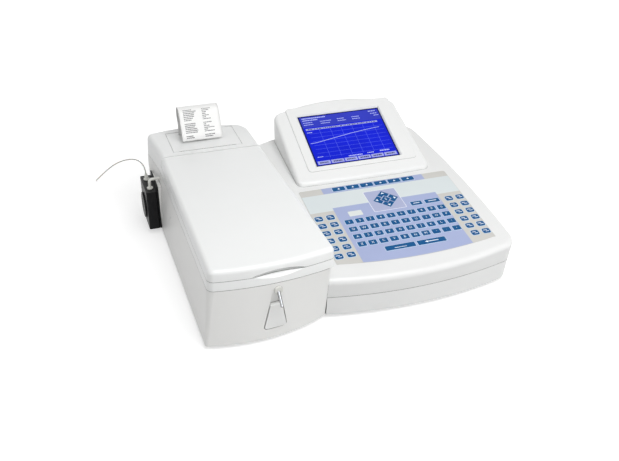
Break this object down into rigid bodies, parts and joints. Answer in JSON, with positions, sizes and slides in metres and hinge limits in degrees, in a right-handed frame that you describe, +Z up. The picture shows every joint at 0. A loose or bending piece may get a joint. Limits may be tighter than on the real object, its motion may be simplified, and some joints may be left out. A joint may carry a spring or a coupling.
{
  "type": "benchtop chemistry analyzer",
  "caption": "Benchtop chemistry analyzer with a lidded measuring tower, a built-in printer, a side pump and sipper needle, and a sloping keypad console with a tilted display.",
  "frame": {"origin": "on the table under the middle of the instrument's box, measured without the free waste tube", "axes": "+X to the console side, +Y to the rear, +Z up"},
  "size_m": [0.4767, 0.5119, 0.1586],
  "materials": {
    "tower_paint": "moulded off-white, fine grain",
    "cover_plastic": "moulded off-white, satin",
    "console_plastic": "moulded off-white, satin",
    "screen_plastic": "moulded off-white, satin",
    "display": "lit blue display",
    "black_plastic": "black moulded",
    "grey_plastic": "grey moulded",
    "white_plastic": "white moulded",
    "keypad_film": "printed polyester film",
    "key_film": "printed blue key pads",
    "steel": "plain steel",
    "bright_steel": "polished stainless steel",
    "aluminium_plain": "milled aluminium",
    "panel_metal": "powder-coated sheet",
    "paper_white": "thermal paper",
    "rubber_black": "black rubber",
    "rubber_grey": "grey rubber",
    "tube_clear": "translucent silicone",
    "glass_clear": "clear glass",
    "board_green": "circuit board"
  },
  "bodies": {
    "base": {"tower_casing": "tower_paint", "upper_housing": "cover_plastic", "console_base": "console_plastic", "console_top": "console_plastic", "screen_housing": "screen_plastic", "screen_bezel": "screen_plastic", "lcd_frame": "panel_metal", "lcd_panel": "display", "keypad_overlay": "keypad_film", "character_keys": "key_film", "side_keys": "key_film", "function_keys": "key_film", "cursor_keys": "key_film", "hinge_pins": "steel", "printer_frame": "black_plastic", "print_head": "aluminium_plain", "printer_motor": "steel", "pump_plate": "black_plastic", "pump_body": "black_plastic", "pump_clamp": "black_plastic", "pump_motor": "steel", "pump_tube": "tube_clear", "inlet_fitting": "white_plastic", "outlet_fitting": "white_plastic", "waste_tube": "tube_clear", "needle_boss": "white_plastic", "sipper_needle": "bright_steel", "optical_bench": "aluminium_plain", "lamp_housing": "aluminium_plain", "lamp": "glass_clear", "lens_barrel": "aluminium_plain", "filter_motor": "steel", "flow_cell_block": "aluminium_plain", "detector_board": "board_green", "sample_tubing": "tube_clear", "main_board": "board_green", "power_supply": "panel_metal", "rear_panel": "panel_metal", "power_inlet": "black_plastic", "data_port": "steel", "fan_frame": "black_plastic", "feet": "rubber_grey", "casing_screws": "steel", "aspirate_switch": "black_plastic"},
    "lid": {"lid": "cover_plastic"},
    "printer_cover": {"printer_cover": "cover_plastic", "paper_strip": "paper_white"},
    "paper_roll": {"paper_roll": "paper_white"},
    "platen": {"platen_roller": "rubber_black"},
    "pinion": {"motor_pinion": "steel"},
    "pump_rotor": {"pump_rotor": "black_plastic"},
    "pump_roller_1": {"pump_roller_1": "white_plastic"},
    "pump_roller_2": {"pump_roller_2": "white_plastic"},
    "pump_roller_3": {"pump_roller_3": "white_plastic"},
    "filter_wheel": {"filter_wheel": "black_plastic", "filters": "glass_clear"},
    "fan_rotor": {"fan_rotor": "black_plastic"},
    "rocker_switch": {"rocker_switch": "black_plastic"},
    "fuse_drawer": {"fuse_drawer": "black_plastic"},
    "aspirate_key": {"aspirate_key": "grey_plastic"}
  },
  "joints": [
    {"name": "lid_hinge", "type": "hinge", "parent": "base", "child": "lid", "pos_m": [-0.1142, 0.10324, 0.1104], "axis": [-1, 0, 0], "range_deg": [0, 75]},
    {"name": "cover_hinge", "type": "hinge", "parent": "base", "child": "printer_cover", "pos_m": [-0.1167, 0.18094, 0.11331], "axis": [-1, 0, 0], "range_deg": [0, 70]},
    {"name": "paper_roll_spin", "type": "hinge", "parent": "base", "child": "paper_roll", "pos_m": [-0.1187, 0.14304, 0.08828], "axis": [1, 0, 0], "continuous": true},
    {"name": "platen_spin", "type": "hinge", "parent": "base", "child": "platen", "pos_m": [-0.1187, 0.17284, 0.10224], "axis": [1, 0, 0], "continuous": true},
    {"name": "pinion_spin", "type": "hinge", "parent": "base", "child": "pinion", "pos_m": [-0.0892, 0.17284, 0.08994], "axis": [1, 0, 0], "continuous": true},
    {"name": "pump_spin", "type": "hinge", "parent": "base", "child": "pump_rotor", "pos_m": [-0.2017, 0.13694, 0.034], "axis": [-1, 0, 0], "continuous": true},
    {"name": "pump_roller_1_spin", "type": "hinge", "parent": "pump_rotor", "child": "pump_roller_1", "pos_m": [-0.2017, 0.14482, 0.03855], "axis": [-1, 0, 0], "continuous": true},
    {"name": "pump_roller_2_spin", "type": "hinge", "parent": "pump_rotor", "child": "pump_roller_2", "pos_m": [-0.2017, 0.12906, 0.03855], "axis": [-1, 0, 0], "continuous": true},
    {"name": "pump_roller_3_spin", "type": "hinge", "parent": "pump_rotor", "child": "pump_roller_3", "pos_m": [-0.2017, 0.13694, 0.0249], "axis": [-1, 0, 0], "continuous": true},
    {"name": "filter_wheel_spin", "type": "hinge", "parent": "base", "child": "filter_wheel", "pos_m": [-0.1342, -0.01956, 0.056], "axis": [0, 1, 0], "continuous": true},
    {"name": "fan_spin", "type": "hinge", "parent": "base", "child": "fan_rotor", "pos_m": [0.0318, 0.13544, 0.067], "axis": [0, 1, 0], "continuous": true},
    {"name": "rocker_tilt", "type": "hinge", "parent": "base", "child": "rocker_switch", "pos_m": [0.1108, 0.13644, 0.0815], "axis": [1, 0, 0], "range_deg": [0, 20]},
    {"name": "fuse_slide", "type": "slide", "parent": "base", "child": "fuse_drawer", "axis": [0, 1, 0], "range_m": [0, 0.012]},
    {"name": "aspirate_press", "type": "hinge", "parent": "base", "child": "aspirate_key", "pos_m": [-0.10905, -0.18229, 0.04926], "axis": [0.9954, 0.0958, 0], "range_deg": [0, 4], "stiffness_Nm_per_rad": 0.15, "springref_deg": -1.15}
  ],
  "couplings": [
    {"joint": "platen_spin", "follows": "paper_roll_spin", "ratio": -4.3333},
    {"joint": "pinion_spin", "follows": "paper_roll_spin", "ratio": 6.5},
    {"joint": "pump_roller_1_spin", "follows": "pump_spin", "ratio": -3.275},
    {"joint": "pump_roller_2_spin", "follows": "pump_spin", "ratio": -3.275},
    {"joint": "pump_roller_3_spin", "follows": "pump_spin", "ratio": -3.275}
  ]
}
